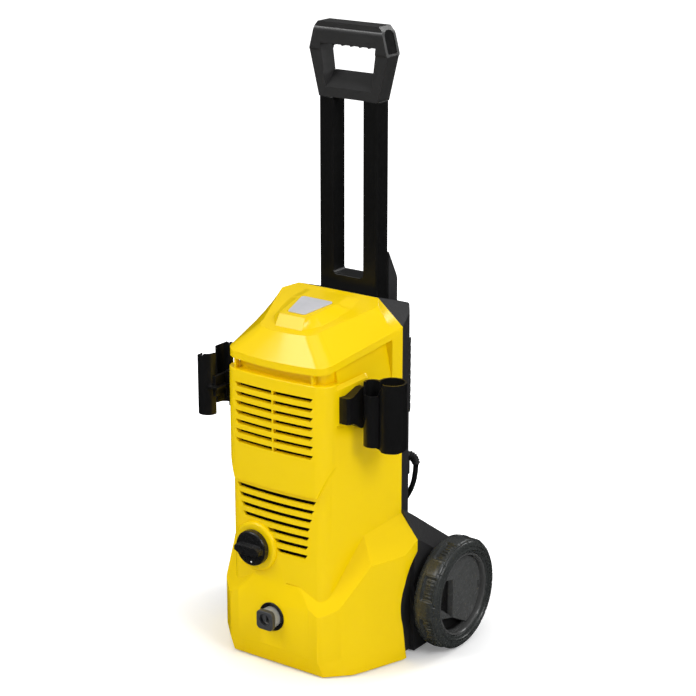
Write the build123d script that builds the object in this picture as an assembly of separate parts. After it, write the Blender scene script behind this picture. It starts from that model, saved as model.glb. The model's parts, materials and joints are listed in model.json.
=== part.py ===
"""Upright high-pressure washer: moulded housing with a vertical motor and pump,
telescopic pull handle, two wheels and clip-on holders for the gun and the lance.

Millimetres. +Z is up and the front faces -Y. The shapes are drawn about X = 0, which is
the middle plane, and are moved by SHIFT_Y when they are written, so that the origin
of the written parts is on the floor under the middle of the machine.
"""
from build123d import *
from math import atan2, cos, degrees, hypot, pi, radians, sin, sqrt, tan
import os

# ---------------------------------------------------------------- driving sizes
WALL = 3.0                 # moulded wall of the housings
GAP = 0.4                  # sliding and running gap between different bodies
PART_Y = 23.0              # joint plane between front and rear housing
SHIFT_Y = -6.35            # brings the middle of the machine's length to Y = 0

# front housing, plan of the upright body
BODY_REAR_X = 97.0
BODY_CORNER = (71.5, -103.5)
BODY_FRONT_Y = -108.5
BODY_CORNER_R = 18.0
BODY_TOP_Z = 394.0
PANEL_RAISE = 3.4          # how far the front panel stands proud
PANEL_Z = (237.0, 379.0)
PANEL_SIDE_Y = -88.0
BAND_DEPTH = 7.5           # recess under the brim
BAND_Z = 379.0

# hood: brim plane and top plane, heights at y = PART_Y and their fall per mm
BRIM_REAR_Z, BRIM_SLOPE = 427.0, 0.2
BRIM_HEIGHT = 9.0
TOP_REAR_Z, TOP_SLOPE = 457.5, 0.24
PLATFORM_SLOPE = 0.15

# grilles
SLOT_HEIGHT = 5.4
SLOT_PITCH = 12.0
UPPER_SLOT_Z, UPPER_SLOT_HALF = 360.7, 57.8
LOWER_SLOT_Z = 229.0
LOWER_SLOT_HALVES = (58.3, 55.5, 52.5, 49.5, 48.5, 47.0, 46.0)

# rotary switch
KNOB_X, KNOB_Z, KNOB_R = -29.8, 154.5, 22.7
KNOB_BOSS_R = 32.0
KNOB_BOSS_Y = -112.5
KNOB_FACE_Y = -129.0

# base
BASE_BOTTOM_Z = 2.0
BASE_FRONT_Y = -117.0
ARCH_R = 84.0
FOOT_X, FOOT_Y = (-62.0, 62.0), -84.0

# wheels and axle
WHEEL_R = 72.2
WHEEL_Y, WHEEL_Z = 73.5, 72.2
WHEEL_IN_X, WHEEL_OUT_X = 128.0, 162.0
TYRE_INNER_R = 54.0
AXLE_R = 5.0
LUG_COUNT = 8

# telescopic handle
STEM_HALF, RAIL_INNER_X = 44.2, 22.5
STEM_Y = (44.0, 68.6)
STEM_BOTTOM_Z, SLOT_BOTTOM_Z, GRIP_BOTTOM_Z = 377.0, 471.0, 692.0
HANDLE_TOP_Z = 783.0
HANDLE_TRAVEL = 210.0

# holders on the sides
BRACKET_Y = (-84.0, -62.0)
BRACKET_Z = (330.0, 363.0)
BRACKET_TONGUE_Y = (-80.0, -66.0)
BRACKET_TONGUE_Z = (337.0, 356.0)

# high-pressure outlet
OUTLET_Z, OUTLET_R = 70.0, 15.5

# strain relief and cord hook on the rear housing, and the screws of its joint
STRAIN_START = (66.0, 75.6)
STRAIN_Z = 240.0
HOUSING_SCREWS = [(-83, 250), (83, 250), (-83, 368), (83, 368)]

# water inlet at the back
INLET_X, INLET_Z = -45.0, 96.0
REAR_BLOCK_Y = 129.0
INLET_THREAD_R = 13.2

# motor and pump
MOTOR_Y, PUMP_Y = -52.0, -19.6
PINION_TEETH, GEAR_TEETH, GEAR_MODULE = 10, 44, 1.2
SHAFT_R = 4.0
PISTON_COUNT, PISTON_CIRCLE_R, PISTON_R = 3, 19.0, 6.0
SWASH_TILT = 9.0

# power cord
CORD_R = 3.5
CORD_ROUTE = [(77.0, 84.6, 225.0), (73.5, 88.5, 209.0), (65.0, 94.5, 190.0), (52.0, 103.0, 172.0),
              (36.0, 114.0, 155.0), (20.0, 127.0, 138.0), (7.0, 139.5, 115.0), (0.0, 147.5, 89.0),
              (-3.0, 151.5, 62.0), (-3.0, 155.5, 38.0), (1.0, 166.5, 18.5), (7.5, 182.0, 6.4),
              (17.5, 203.0, 3.6)]
COIL_CENTRE = (-35.0, 226.0)
COIL_IN_R, COIL_OUT_R, COIL_HEIGHT = 24.5, 59.5, 29.0
TAIL_ROUTE = [(-36.0, 281.8, 24.5), (-52.0, 281.5, 24.0), (-68.0, 277.5, 21.5), (-83.0, 271.5, 18.8),
              (-98.0, 266.0, 18.0)]

parts = {}


# ---------------------------------------------------------------- small helpers
def prism_x(points, x0, x1):
    """A (y, z) polygon carried from x0 to x1."""
    return extrude(Plane.YZ.offset(x0) * Polygon(*points, align=None), x1 - x0, dir=(1, 0, 0))


def prism_y(points, y0, y1):
    """An (x, z) polygon carried from y0 to y1."""
    return extrude(Plane.XZ.offset(-y1) * Polygon(*points, align=None), y1 - y0, dir=(0, -1, 0))


def prism_z(points, z0, z1):
    """An (x, y) polygon carried from z0 to z1."""
    return extrude(Plane.XY.offset(z0) * Polygon(*points, align=None), z1 - z0, dir=(0, 0, 1))


def block(x, y, z):
    """A box from three (low, high) pairs."""
    size = [pair[1] - pair[0] for pair in (x, y, z)]
    middle = [sum(pair) / 2 for pair in (x, y, z)]
    return Pos(*middle) * Box(*size)


def rod_x(y, z, r, x0, x1):
    return Pos((x0 + x1) / 2, y, z) * Rot(0, 90, 0) * Cylinder(r, x1 - x0)


def rod_y(x, z, r, y0, y1):
    return Pos(x, (y0 + y1) / 2, z) * Rot(90, 0, 0) * Cylinder(r, y1 - y0)


def rod_z(x, y, r, z0, z1):
    return Pos(x, y, (z0 + z1) / 2) * Cylinder(r, z1 - z0)


def tube_z(x, y, r_out, r_in, z0, z1):
    return rod_z(x, y, r_out, z0, z1) - rod_z(x, y, r_in, z0 - 1, z1 + 1)


def both_sides(shape):
    return shape + mirror(shape, about=Plane.YZ)


def below(shape, point, normal):
    """What is left of a shape behind the plane through point that faces normal."""
    return split(shape, bisect_by=Plane(origin=point, z_dir=normal), keep=Keep.BOTTOM)


def below_pair(shape, point, normal):
    """The same cut on the right and, mirrored, on the left."""
    x, y, z = point
    a, b, c = normal
    return below(below(shape, point, normal), (-x, y, z), (-a, b, c))


def ring_of(shape, count, centre=(0, 0), start=0):
    """Copies of a shape turned about the vertical line through centre."""
    turned = [Pos(*centre) * Rot(0, 0, start + 360 * i / count) * Pos(-centre[0], -centre[1]) * shape
              for i in range(count)]
    return Compound(children=turned)


def screw_z(x, y, z, length, r=2.0):
    """A pan-head screw that points down, with a cross-shaped drive."""
    shank = rod_z(x, y, r, z - length, z)
    cap = rod_z(x, y, 2 * r, z, z + 1.3 * r)
    drive = block((x - 1.5 * r, x + 1.5 * r), (y - 0.3, y + 0.3), (z + 0.6 * r, z + 2 * r))
    drive += block((x - 0.3, x + 0.3), (y - 1.5 * r, y + 1.5 * r), (z + 0.6 * r, z + 2 * r))
    return shank + (cap - drive)


def screw_y(x, z, y, length, r=2.0):
    """The same screw driven forwards, its head towards +Y."""
    return Pos(x, y, z) * Rot(-90, 0, 0) * screw_z(0, 0, 0, length, r)


# ---------------------------------------------------------------- front housing
def body_plan(grow=0.0, rear=PART_Y):
    """Plan of the upright body: tapered sides, rounded front corners, bowed front."""
    cx, cy = BODY_CORNER[0] + grow, BODY_CORNER[1] - grow
    taper = (BODY_REAR_X - BODY_CORNER[0]) / (PART_Y - BODY_CORNER[1])
    rx = BODY_REAR_X + grow + taper * (rear - PART_Y)
    outline = [Line((cx, cy), (rx, rear)), Line((rx, rear), (-rx, rear)),
               Line((-rx, rear), (-cx, cy)),
               ThreePointArc((-cx, cy), (0, BODY_FRONT_Y - grow), (cx, cy))]
    plan = make_face(outline)
    corners = plan.vertices().sort_by(Axis.Y)[:2]
    return fillet(corners, BODY_CORNER_R + grow)


def hood_wire(rear_x, shoulder, side_end, corner_mid, front_end, front_y, height, inset, rear):
    """A closed outline on a sloping plane, symmetric, with rounded front corners."""
    def at(x, y):
        return (x, y, height(y))
    rx, hx, hy = rear_x - inset, shoulder[0] - inset, shoulder[1]
    sx, sy = side_end[0] - inset, side_end[1] + inset
    mx, my = corner_mid[0] - inset, corner_mid[1] + inset
    fx, fy = front_end[0] - inset, front_end[1] + inset
    edges = [Line(at(rx, rear), at(hx, hy)),
             Line(at(hx, hy), at(sx, sy)),
             ThreePointArc(at(sx, sy), at(mx, my), at(fx, fy)),
             ThreePointArc(at(fx, fy), at(0, front_y + inset), at(-fx, fy)),
             ThreePointArc(at(-fx, fy), at(-mx, my), at(-sx, sy)),
             Line(at(-sx, sy), at(-hx, hy)),
             Line(at(-hx, hy), at(-rx, rear)),
             Line(at(-rx, rear), at(rx, rear))]
    return Wire([edge.edge() for edge in edges])


def brim_wire(drop=0.0, inset=0.0, rear=PART_Y):
    return hood_wire(97.0, (93.7, 5.0), (76.8, -88.0), (71.5, -101.5), (57.0, -107.5), -111.5,
                     lambda y: BRIM_REAR_Z - drop + BRIM_SLOPE * (y - PART_Y), inset, rear)


def ridge_wire(drop=0.0, inset=0.0, rear=PART_Y):
    return hood_wire(60.5, (73.0, 5.0), (43.6, -71.0), (40.0, -81.5), (29.0, -87.0), -89.5,
                     lambda y: TOP_REAR_Z - drop + TOP_SLOPE * (y - PART_Y), inset, rear)


def hood_solid(drop=0.0, inset=0.0, rear=PART_Y):
    """Hood above the brim's upper edge."""
    return Solid.make_loft([brim_wire(drop, inset, rear), ridge_wire(drop, inset, rear)], True)


def brim_solid(drop_top=0.0, drop_bottom=BRIM_HEIGHT, inset=0.0, rear=PART_Y):
    return Solid.make_loft([brim_wire(drop_bottom, inset, rear), brim_wire(drop_top, inset, rear)], True)


def base_solid(inset=0.0, rear=PART_Y):
    """Flared base: bulged front, sides that widen towards the wheels, sloping facets on top."""
    i = inset
    outline = [Line((122 - i, rear), (122 - i, -5)), Line((122 - i, -5), (102 - i, -62)),
               Line((102 - i, -62), (88 - i, -97 + i)), Line((88 - i, -97 + i), (69 - i, -114 + i)),
               ThreePointArc((69 - i, -114 + i), (0, BASE_FRONT_Y + i), (-69 + i, -114 + i)),
               Line((-69 + i, -114 + i), (-88 + i, -97 + i)),
               Line((-88 + i, -97 + i), (-102 + i, -62)), Line((-102 + i, -62), (-122 + i, -5)),
               Line((-122 + i, -5), (-122 + i, rear)), Line((-122 + i, rear), (122 - i, rear))]
    plan = make_face(outline)
    front_corners = [v for v in plan.vertices() if v.Y < -90]
    plan = fillet(front_corners, 14.0)
    shape = extrude(Plane.XY.offset(BASE_BOTTOM_Z) * plan, 190 - i)
    shape = below(shape, (0, BASE_FRONT_Y + i, 87 - i), (0, -24, 8.5))
    shape = below(shape, (0, BASE_FRONT_Y + i, 30), (0, -28, -12))
    shape = below_pair(shape, (119 - i, 20, 157 - i), (2097, -765, 1716))
    shape = below_pair(shape, (87 - i, -103 + i, 87 - i), (700, -1400, 1050))
    shape = below_pair(shape, (80 - i, -104.5 + i, 30), (0.72, -0.69, -0.25))
    return shape


def slot(x0, x1, z, slants=(2.0, 2.0)):
    """A grille slot cut right through the front wall; each end slants by its own amount."""
    half = SLOT_HEIGHT / 2
    left, right = slants
    points = [(x0 - left, z + half), (x1 + right, z + half), (x1 - right, z - half), (x0 + left, z - half)]
    return prism_y(points, -125, -92)


def front_housing():
    body = extrude(Plane.XY.offset(90) * body_plan(), BRIM_REAR_Z - 90)
    body = below(body, (0, PART_Y, BRIM_REAR_Z - 1), (0, -BRIM_SLOPE, 1))
    panel = extrude(Plane.XY.offset(PANEL_Z[0]) * body_plan(PANEL_RAISE), PANEL_Z[1] - PANEL_Z[0])
    panel &= prism_y([(-82, 390), (82, 390), (82, 285), (63, 237), (-63, 237), (-82, 285)], -125, PANEL_SIDE_Y)
    panel = fillet(panel.edges().group_by(Axis.Z)[-1], 1.6)

    # recess under the brim: square along the front, fading downwards along the sides
    band = extrude(Plane.XY.offset(BAND_Z) * body_plan(12), 60)
    band -= extrude(Plane.XY.offset(BAND_Z) * body_plan(-BAND_DEPTH), 60)
    band &= block((-120, 120), (-130, -78), (BAND_Z, 450))
    body -= band
    scoop = below(block((70, 110), (-79, 6), (340, 430)), (77.5, -82, 350), (-0.975, 0.2, -0.19))
    body -= both_sides(scoop)

    outer = body + panel
    outer += brim_solid() + hood_solid()
    outer += base_solid()
    boss = rod_y(KNOB_X, KNOB_Z, KNOB_BOSS_R, KNOB_BOSS_Y, -85)
    boss = fillet(boss.edges().group_by(Axis.Y)[0], 4.0)

    # raised sockets that the holders clip into
    rim = Polygon((BRACKET_Y[0] - 8, BRACKET_Z[0] - 6), (BRACKET_Y[1] + 30, BRACKET_Z[0] - 12),
                  (BRACKET_Y[1] + 30, BRACKET_Z[1] + 20), (BRACKET_Y[0] - 8, BRACKET_Z[1] + 12), align=None)
    side = Plane(origin=(74.0, -88, 0), x_dir=(0.2, 1, 0), z_dir=(1, -0.2, 0))
    socket = extrude(side * Pos(88, 0) * fillet(rim.vertices(), 6), 4.5, taper=45)

    hollow = extrude(Plane.XY.offset(60) * body_plan(-WALL, PART_Y + 5), BODY_TOP_Z - 60)
    hollow -= extrude(Plane.XY.offset(BAND_Z - WALL) * (body_plan(20) - body_plan(-BAND_DEPTH - WALL, PART_Y + 9)), 60)
    hollow += brim_solid(WALL + 1, BRIM_HEIGHT + 26, BAND_DEPTH + WALL, PART_Y + 5)
    hollow += hood_solid(WALL + 1, WALL, PART_Y + 5)
    hollow += below(base_solid(WALL, PART_Y + 5), (0, 0, BASE_BOTTOM_Z), (0, 0, -1))

    shell = outer + both_sides(socket)
    for row in range(7):
        z = UPPER_SLOT_Z - row * SLOT_PITCH
        shell -= slot(0.9, UPPER_SLOT_HALF - 1, z, (0.0, 2.0))
        shell -= slot(1 - UPPER_SLOT_HALF, -0.9, z, (2.0, 0.0))
    shell -= hollow
    for row, half in enumerate(LOWER_SLOT_HALVES):
        z = LOWER_SLOT_Z - row * SLOT_PITCH
        dz = abs(z - KNOB_Z)
        left = KNOB_X + sqrt(KNOB_BOSS_R ** 2 - dz ** 2) + 1 if dz < KNOB_BOSS_R else -half
        shell -= slot(left, half, z)
    shell += boss - rod_y(KNOB_X, KNOB_Z, KNOB_BOSS_R - WALL, KNOB_BOSS_Y + WALL, -80)
    arch = rod_x(WHEEL_Y, WHEEL_Z, ARCH_R, -130, 130)
    arch += prism_x([(-10.5, 72), (-3.5, 20), (1.5, -2), (90, -2), (90, 72)], -130, 130)
    shell -= arch - block((-100, 100), (-100, 200), (-50, 300))
    for x in (55, -61.5):
        shell += block((x - 1.5, x + 1.5), (-105, -98), (377, 391))
    shell -= block((16.5, 44.7), (-112, -107), (114.9, 116.0))
    shell -= rod_y(0, OUTLET_Z, OUTLET_R + 3, -130, -100)
    for x, z in HOUSING_SCREWS:
        rib = block(sorted((x, x * 1.12)), (PART_Y - 16, PART_Y), (z - 1.5, z + 1.5))
        shell += rod_y(x, z, 5, PART_Y - 16, PART_Y) + rib
        shell -= rod_y(x, z, 2, PART_Y - 12, PART_Y + 1)
    return shell


# ---------------------------------------------------------------- rear housing
def rear_upper(inset=0.0, front=PART_Y):
    """Closed form behind the joint plane: narrowed sides, sloping top, clipped shoulders."""
    i = inset
    plan = [(-97 + i, front), (97 - i, front), (97 - i, PART_Y), (75.5 - i, 70), (64 - i, 86 - i),
            (-64 + i, 86 - i), (-75.5 + i, 70), (-97 + i, PART_Y)]
    shape = prism_z(plan, 150, 460)
    shape = below(shape, (0, PART_Y, TOP_REAR_Z - i), (0, 15, 47))
    return below_pair(shape, (59.5, PART_Y, TOP_REAR_Z - i), (1410, 502.5, 1762.5))


def rear_lower(inset=0.0, front=PART_Y):
    """Block between the wheels, with a roof that falls to the back and to both sides."""
    i = inset
    profile = [(front, BASE_BOTTOM_Z + i), (REAR_BLOCK_Y - i, BASE_BOTTOM_Z + i), (REAR_BLOCK_Y - i, 118 - i),
               (90, 145 - i), (44, 177 - i), (front, 190 - i)]
    shape = prism_x(profile, -118 + i, 118 - i)
    shape = below(shape, (0, REAR_BLOCK_Y - i, 30), (0, 1, -0.28))
    return below_pair(shape, (100 - i, PART_Y, 189 - i), (3392, 1278, 1908))


def rear_housing():
    tongue = prism_x([(STEM_Y[1] + GAP, 400), (88, 400), (88, 466), (86, 471), (STEM_Y[1] + GAP, 503)],
                     -STEM_HALF, STEM_HALF)
    tongue -= block((-36.8, 36.8), (60, 95), (466, 510))
    shell = rear_upper() + rear_lower() + tongue
    shell -= rear_upper(WALL, PART_Y - 5) + rear_lower(WALL, PART_Y - 5)
    cheek = prism_x([(-14, 3), (PART_Y + 4, 3), (PART_Y + 4, 150), (8, 146), (-14, 112)], 108, 111)
    web = block((108, 117), (PART_Y, PART_Y + 3), (4, 148))
    shell += both_sides(cheek + web)
    for k in range(9):
        z = 301 + 10.9 * k
        rib = prism_z([(75.5, 67), (77.5, 70), (66.5, 87), (64, 84)], z, z + 4.5)
        shell += both_sides(rib)
    reach_x, front_y, back_y = STEM_HALF + GAP, STEM_Y[0] - GAP, STEM_Y[1] + GAP
    shell -= block((-reach_x, reach_x), (front_y, back_y), (395, 510))
    shell += both_sides(rod_x(WHEEL_Y, WHEEL_Z, 14, 92, 121) + rod_x(WHEEL_Y, WHEEL_Z, 9, 120, 128.6))
    shell -= rod_x(WHEEL_Y, WHEEL_Z, AXLE_R + 0.05, -130, 130)
    shell += rod_y(INLET_X, INLET_Z, 20, REAR_BLOCK_Y - 14, REAR_BLOCK_Y)
    shell -= rod_y(INLET_X, INLET_Z, 16.5, REAR_BLOCK_Y - 20, REAR_BLOCK_Y + 5)
    for k in range(6):
        shell -= block((8, 84), (REAR_BLOCK_Y - 22, REAR_BLOCK_Y + 2), (40 + 9 * k, 44.5 + 9 * k))
    shell -= Pos(*STRAIN_START, STRAIN_Z) * Rot(0, 0, 36) * Rot(0, 90, 0) * Cylinder(6.0, 24)
    for x, z in HOUSING_SCREWS:
        shell += rod_y(x, z, 5, PART_Y + 0.2, PART_Y + 12)
        shell -= rod_y(x, z, 2.2, PART_Y - 3, PART_Y + 12.5)
    return shell


def base_tray():
    """Floor plate inside the front housing, with the posts that the pump stands on."""
    tray = below(base_solid(WALL + 0.5), (0, 0, 6.5), (0, 0, 1))
    tray &= block((-104, 104), (-130, PART_Y - 0.5), (2.5, 6.5))
    for dx, dy in ((-26, -22), (26, -22), (-26, 22), (26, 22)):
        tray += rod_z(dx, PUMP_Y + dy, 5, 6.5, 52)
    for x in FOOT_X:
        tray -= rod_z(x, FOOT_Y, 4, 0, 10)
    return tray


# ---------------------------------------------------------------- hood pieces
def top_z(y):
    return TOP_REAR_Z + TOP_SLOPE * (y - PART_Y)


def platform_top(y):
    return 446.8 + PLATFORM_SLOPE * (y + 70.0)


def platform_solid():
    """Raised platform on the hood: its top is flatter than the hood's, and its flanks spread out."""
    low = [(20, -79), (38, -60), (51, -14), (46, 15)]
    high = [(19.5, -70), (23, -55), (28, -19), (26, 7)]
    def ring(half, height):
        points = half + [(-x, y) for x, y in reversed(half)]
        return Wire.make_polygon([Vector(x, y, height(y)) for x, y in points])
    return Solid.make_loft([ring(low, lambda y: top_z(y) - 1), ring(high, platform_top)], True)


def badge_plate():
    """Blank plate on the platform, a trapezium with its back edge wider."""
    plate = Polygon((-12.5, -22.5), (12.5, -22.5), (24, 22.5), (-24, 22.5), align=None)
    plate = extrude(fillet(plate.vertices(), 3.5), 1.6)
    return Pos(0, -40.5, platform_top(-40.5)) * Rot(degrees(atan2(PLATFORM_SLOPE, 1)), 0, 0) * plate


# ---------------------------------------------------------------- handle
def handle_guide():
    x, y0, y1 = STEM_HALF + GAP, STEM_Y[0] - GAP, STEM_Y[1] + GAP
    sleeve = block((-x - 2.5, x + 2.5), (y0 - 2.5, y1 + 2.5), (158, 460))
    sleeve -= block((-x, x), (y0, y1), (150, 470))
    for z in (170, 300, 425):
        sleeve += block((-60, -x - 2.5), (y0, y0 + 3), (z, z + 6)) + block((x + 2.5, 60), (y0, y0 + 3), (z, z + 6))
    return below(sleeve, (0, PART_Y, TOP_REAR_Z - WALL - 0.4), (0, 15, 47))


def handle_stem():
    stem = block((-STEM_HALF, STEM_HALF), STEM_Y, (STEM_BOTTOM_Z, GRIP_BOTTOM_Z))
    stem = chamfer(stem.edges().filter_by(Axis.Z), 2.6)
    slot_solid = block((-RAIL_INNER_X, RAIL_INNER_X), (0, 100), (SLOT_BOTTOM_Z, GRIP_BOTTOM_Z + 1))
    bottom_edges = slot_solid.edges().filter_by(Axis.Y).group_by(Axis.Z)[0]
    stem -= fillet(bottom_edges, 5)
    middle = (STEM_Y[0] + STEM_Y[1]) / 2
    spigot = block((26, 40), (middle - 6, middle + 6), (GRIP_BOTTOM_Z, GRIP_BOTTOM_Z + 9))
    return stem + both_sides(spigot)


GRIP_OUTLINE = [(-43.5, GRIP_BOTTOM_Z), (43.5, GRIP_BOTTOM_Z), (57.5, 748), (50, 777), (45, HANDLE_TOP_Z),
                (-45, HANDLE_TOP_Z), (-50, 777), (-57.5, 748)]
BAR_END = ((57.5, 0, 748), (29, 0, 7.5))


def grip_bar(inset=0.0):
    bar = block((-80, 80), (42.6 + inset, 70.8 - inset), (746 + inset, HANDLE_TOP_Z - inset))
    bar = fillet(bar.edges().filter_by(Axis.X).group_by(Axis.Z)[-1], 12 - inset)
    return fillet(bar.edges().filter_by(Axis.X).group_by(Axis.Z)[0], 5 - 0.6 * inset)


def grip_ends(depth_in, depth_out):
    """Slices of the bar section just inside its two slanted ends."""
    (x, y, z), (a, b, c) = BAR_END
    size = hypot(a, c)
    inner = (x - depth_in * a / size, 0, z - depth_in * c / size)
    outer = (x - depth_out * a / size, 0, z - depth_out * c / size)
    bar = grip_bar(4.5) & block((20, 90), (0, 100), (700, 800))
    slice_ = split(bar, bisect_by=Plane(origin=inner, z_dir=(a, 0, c)), keep=Keep.TOP)
    return both_sides(below(slice_, outer, (a, b, c)))


def handle_grip():
    arms = prism_y(GRIP_OUTLINE, STEM_Y[0], STEM_Y[1])
    arms = fillet(arms.edges().filter_by(Axis.Y).group_by(Axis.X)[-1], 4)
    grip = arms + (grip_bar() & prism_y(GRIP_OUTLINE, 30, 90))
    grip -= prism_y([(-34, 704), (34, 704), (41, 757), (-41, 757)], 30, 90)
    ledge = prism_x([(STEM_Y[0], 700), (STEM_Y[1], 700), (STEM_Y[1], 722), (STEM_Y[0] + 3, 706), (STEM_Y[0], 704)],
                    -35.5, 35.5)
    grip += ledge
    middle = (STEM_Y[0] + STEM_Y[1]) / 2
    for k in range(-2, 3):
        grip += rod_y(13 * k, 756.5, 2.2, 50, 70)
    grip -= both_sides(block((26, 40), (middle - 6, middle + 6), (GRIP_BOTTOM_Z - 1, GRIP_BOTTOM_Z + 9)))
    return grip - grip_ends(2.0, -20)


# ---------------------------------------------------------------- wheels
def turned_x(profile, side):
    """A (x, radius) polygon spun about the axle's centre line, on one side."""
    ring = revolve(Polygon(*profile, align=None), Axis.X, 360)
    ring = Pos(0, WHEEL_Y, WHEEL_Z) * ring
    return ring if side > 0 else mirror(ring, about=Plane.YZ)


def tyre(side):
    ring = turned_x([(WHEEL_IN_X + 2, TYRE_INNER_R), (WHEEL_IN_X, 58), (WHEEL_IN_X, 66), (WHEEL_IN_X + 3, 70.4),
                     (WHEEL_IN_X + 8, WHEEL_R), (153, WHEEL_R), (158.6, 70.2), (161.4, 66.5), (WHEEL_OUT_X, 61),
                     (161.0, 57.5), (158.5, 56.6), (158.0, TYRE_INNER_R)], side)
    for k in range(LUG_COUNT):
        angle = radians(360 * (k + 0.5) / LUG_COUNT)
        lug = Rot(degrees(angle), 0, 0) * block((side * 148.5 - 8, side * 148.5 + 8), (-15, 15),
                                                (WHEEL_R - 2.2, WHEEL_R + 4))
        ring -= Pos(0, WHEEL_Y, WHEEL_Z) * lug
    return ring


def rim(side):
    return turned_x([(129, AXLE_R + 0.06), (129, 13), (137, 15), (137, 49), (131, 50), (131, TYRE_INNER_R),
                     (158, TYRE_INNER_R), (158, 51), (141, 50), (141, 15), (146, 13), (146, AXLE_R + 0.06)], side)


def wheel_cover(side):
    """Dished cover: a three-sided plate that bridges to the rim, with a deep hollow by each side."""
    dish = turned_x([(141, 15.5), (141, 49.5), (155.5, 50.6), (155.5, 46.6), (144, 43.5), (144, 15.5)], side)
    cap = turned_x([(150, 0.01), (150, 46), (153, 47.2), (153, 0.01)], side)
    for k in range(3):
        angle = 180 + 120 * k
        cut = block((140, 160), (27.5, 80), (-40, 40))
        cut = Rot(angle, 0, 0) * cut
        cap -= Pos(0, WHEEL_Y, WHEEL_Z) * (cut if side > 0 else mirror(cut, about=Plane.YZ))
    for k in range(3):
        angle = 180 + 120 * k
        wall = block((144, 151), (24.5, 27.5), (-32, 32))
        wall = Rot(angle, 0, 0) * wall
        cap += Pos(0, WHEEL_Y, WHEEL_Z) * (wall if side > 0 else mirror(wall, about=Plane.YZ))
    cap &= turned_x([(120, 0.01), (120, 50.6), (170, 50.6), (170, 0.01)], side)
    return dish + cap


def axle():
    """The rod through both wheels, and the pressed cap on each of its ends."""
    rod = rod_x(WHEEL_Y, WHEEL_Z, AXLE_R, -147.5, 147.5)
    cap = rod_x(WHEEL_Y, WHEEL_Z, 9, 146.3, 147.9) - rod_x(WHEEL_Y, WHEEL_Z, AXLE_R, 140, 147.5)
    return Compound(children=[rod, cap, mirror(cap, about=Plane.YZ)])


# ---------------------------------------------------------------- holders
def socket_face_cut(shape):
    """Keeps what stands outside the raised socket on the right side face."""
    size = hypot(1, 0.2)
    origin = (74.0 + 4.5 / size, -88 - 0.9 / size, 340)
    return split(shape, bisect_by=Plane(origin=origin, z_dir=(1, -0.2, 0)), keep=Keep.TOP)


def bracket_block(out_x, back_y):
    (y0, y1), (z0, z1) = BRACKET_Y, BRACKET_Z
    body = prism_z([(70, y0), (out_x - 3, y0), (out_x, y0 + 3), (out_x, back_y), (70, back_y)], z0 - 12, z1 + 12)
    body &= prism_x([(y0, z0), (y0 + 9, z0), (y0 + 26, z0 - 10.5), (0, z0 - 10.5), (0, z1 + 8), (y0 + 26, z1 + 8),
                     (y0 + 9, z1), (y0, z1)], 60, 110)
    return socket_face_cut(body) + block((66, 84), BRACKET_TONGUE_Y, BRACKET_TONGUE_Z)


def lance_holder():
    """Open two-lobed sleeve on the right, with stepped rims, on its clip-in bracket."""
    small, large = (107.5, -55.0, 11.0), (127.0, -41.5, 17.5)
    def outline(inset):
        sx, sy, sr = small
        lx, ly, lr = large
        face = Pos(sx, sy) * Circle(sr - inset) + Pos(lx, ly) * Circle(lr - inset)
        dx, dy = lx - sx, ly - sy
        span = hypot(dx, dy)
        nx, ny = -dy / span, dx / span
        w, v = 9.5 - inset, 15.5 - inset
        neck = Polygon((sx + nx * w, sy + ny * w), (lx + nx * v, ly + ny * v),
                       (lx - nx * v, ly - ny * v), (sx - nx * w, sy - ny * w), align=None)
        return face + neck
    sleeve = extrude(Plane.XY.offset(290) * outline(0), 90)
    sleeve -= extrude(Plane.XY.offset(280) * outline(2.6), 110)
    along = Plane(origin=(small[0], small[1], 0), x_dir=(large[0] - small[0], large[1] - small[1], 0),
                  z_dir=(large[1] - small[1], -(large[0] - small[0]), 0))
    lower_rim = fillet(Polygon((-14, 300.5), (4, 300), (11, 294.5), (30, 294.5), (46, 298), (46, 390), (-14, 390),
                               align=None).vertices(), 1.5)
    sleeve &= extrude(along * lower_rim, 40, both=True)
    scoop = fillet(Polygon((-20, 365), (6, 364.5), (12, 379), (12, 395), (-20, 395), align=None).vertices(), 1.5)
    sleeve -= extrude(along * scoop, 40)
    bracket = bracket_block(93.5, -52.0)
    bracket -= extrude(Plane.XY.offset(280) * outline(1.3), 110)
    return sleeve + bracket


def gun_holder():
    """Two upright half-round jaws on the left, one behind the other, joined by a bracket."""
    x = 111.0
    holder = bracket_block(96.0, BRACKET_Y[1])
    holder += block((95.0, 99.5), (-102.0, -62.0), (334, 360))
    rib = block((88.0, x), (-108.0, -60.0), (345.5, 348.0)) - rod_z(x, -82, 14.5, 340, 355)
    for y, turn, z0, z1 in ((-98.0, -1, 309.5, 388.5), (-66.0, 1, 312, 391)):
        jaw = tube_z(x, y, 12.0, 9.2, z0, z1)
        jaw &= block((94, 125), sorted((y - turn * 2.0, y + turn * 13.0)), (300, 400))
        jaw -= prism_y([(x - 3, z1 - 3), (x + 4, z1 - 1), (x + 14, z1 - 6), (x + 17, z1 + 5), (x - 3, z1 + 5)], -115, -45)
        holder += jaw
    holder += rib
    return mirror(holder, about=Plane.YZ)


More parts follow.
